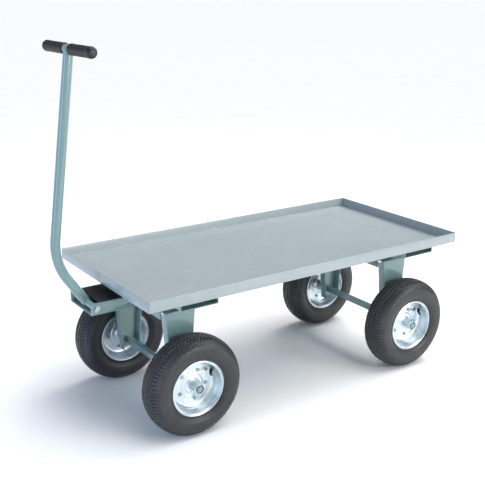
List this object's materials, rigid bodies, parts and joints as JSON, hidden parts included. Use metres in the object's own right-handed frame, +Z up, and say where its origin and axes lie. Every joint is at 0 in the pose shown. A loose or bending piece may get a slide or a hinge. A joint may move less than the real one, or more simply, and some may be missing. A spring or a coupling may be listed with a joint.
{
  "type": "fifth-wheel platform wagon",
  "caption": "Flat steel wagon with a lipped tray deck, pneumatic wheels, a turntable front axle, a short draw frame and a folding gooseneck pull handle with a T-bar.",
  "frame": {"origin": "on the floor, under the middle of the wagon's overall box (handle upright)", "axes": "+X towards the pull handle, +Y to the wagon's left, +Z up"},
  "size_m": [1.7161, 0.762, 1.4558],
  "materials": {
    "deck_enamel": "gloss grey-green enamel",
    "frame_enamel": "gloss grey-green enamel",
    "race_enamel": "dark enamel with grease film",
    "black_cover": "satin black",
    "zinc_fasteners": "bright zinc plate",
    "zinc_rim": "bright zinc plate",
    "bright_steel": "turned bright steel",
    "tyre_rubber": "moulded black rubber",
    "tube_rubber": "soft black rubber",
    "grip_vinyl": "matt moulded vinyl"
  },
  "bodies": {
    "chassis": {"deck_tray": "deck_enamel", "front_crossmember": "frame_enamel", "rear_crossmember": "frame_enamel", "upper_race": "race_enamel", "turntable_bolts": "zinc_fasteners", "king_bolt": "zinc_fasteners", "king_nut": "zinc_fasteners", "rear_spacer": "frame_enamel", "rear_saddle": "frame_enamel", "rear_leg_left": "frame_enamel", "rear_leg_right": "frame_enamel", "rear_axle_beam": "frame_enamel", "rear_axle": "bright_steel", "rear_axle_caps": "frame_enamel"},
    "steering_unit": {"lower_race": "race_enamel", "race_balls": "bright_steel", "front_saddle": "frame_enamel", "front_leg_left": "frame_enamel", "front_leg_right": "frame_enamel", "front_axle_beam": "frame_enamel", "front_axle": "bright_steel", "front_axle_caps": "frame_enamel", "draw_bar_left": "frame_enamel", "draw_bar_right": "frame_enamel", "draw_floor": "frame_enamel", "draw_cover": "black_cover", "pivot_bolt": "zinc_fasteners"},
    "handle": {"handle_pole": "frame_enamel", "pivot_sleeve": "frame_enamel", "tbar": "frame_enamel", "grip_left": "grip_vinyl", "grip_right": "grip_vinyl"},
    "front_left_wheel": {"front_left_tyre": "tyre_rubber", "front_left_tube": "tube_rubber", "front_left_rim_outer": "zinc_rim", "front_left_rim_inner": "zinc_rim", "front_left_hub": "zinc_rim", "front_left_bearings": "bright_steel", "front_left_bolts": "zinc_fasteners"},
    "front_right_wheel": {"front_right_tyre": "tyre_rubber", "front_right_tube": "tube_rubber", "front_right_rim_outer": "zinc_rim", "front_right_rim_inner": "zinc_rim", "front_right_hub": "zinc_rim", "front_right_bearings": "bright_steel", "front_right_bolts": "zinc_fasteners"},
    "rear_left_wheel": {"rear_left_tyre": "tyre_rubber", "rear_left_tube": "tube_rubber", "rear_left_rim_outer": "zinc_rim", "rear_left_rim_inner": "zinc_rim", "rear_left_hub": "zinc_rim", "rear_left_bearings": "bright_steel", "rear_left_bolts": "zinc_fasteners"},
    "rear_right_wheel": {"rear_right_tyre": "tyre_rubber", "rear_right_tube": "tube_rubber", "rear_right_rim_outer": "zinc_rim", "rear_right_rim_inner": "zinc_rim", "rear_right_hub": "zinc_rim", "rear_right_bearings": "bright_steel", "rear_right_bolts": "zinc_fasteners"}
  },
  "joints": [
    {"name": "steering", "type": "hinge", "parent": "chassis", "child": "steering_unit", "pos_m": [0.45292, 0, 0.5225], "axis": [0, 0, 1], "range_deg": [-40, 40]},
    {"name": "handle_tilt", "type": "hinge", "parent": "steering_unit", "child": "handle", "pos_m": [0.73092, 0, 0.4975], "axis": [0, 1, 0], "range_deg": [0, 57]},
    {"name": "front_left_roll", "type": "hinge", "parent": "steering_unit", "child": "front_left_wheel", "pos_m": [0.45292, 0.3009, 0.2], "axis": [0, 1, 0], "continuous": true},
    {"name": "front_right_roll", "type": "hinge", "parent": "steering_unit", "child": "front_right_wheel", "pos_m": [0.45292, -0.3009, 0.2], "axis": [0, 1, 0], "continuous": true},
    {"name": "rear_left_roll", "type": "hinge", "parent": "chassis", "child": "rear_left_wheel", "pos_m": [-0.64508, 0.3009, 0.2], "axis": [0, 1, 0], "continuous": true},
    {"name": "rear_right_roll", "type": "hinge", "parent": "chassis", "child": "rear_right_wheel", "pos_m": [-0.64508, -0.3009, 0.2], "axis": [0, 1, 0], "continuous": true}
  ]
}
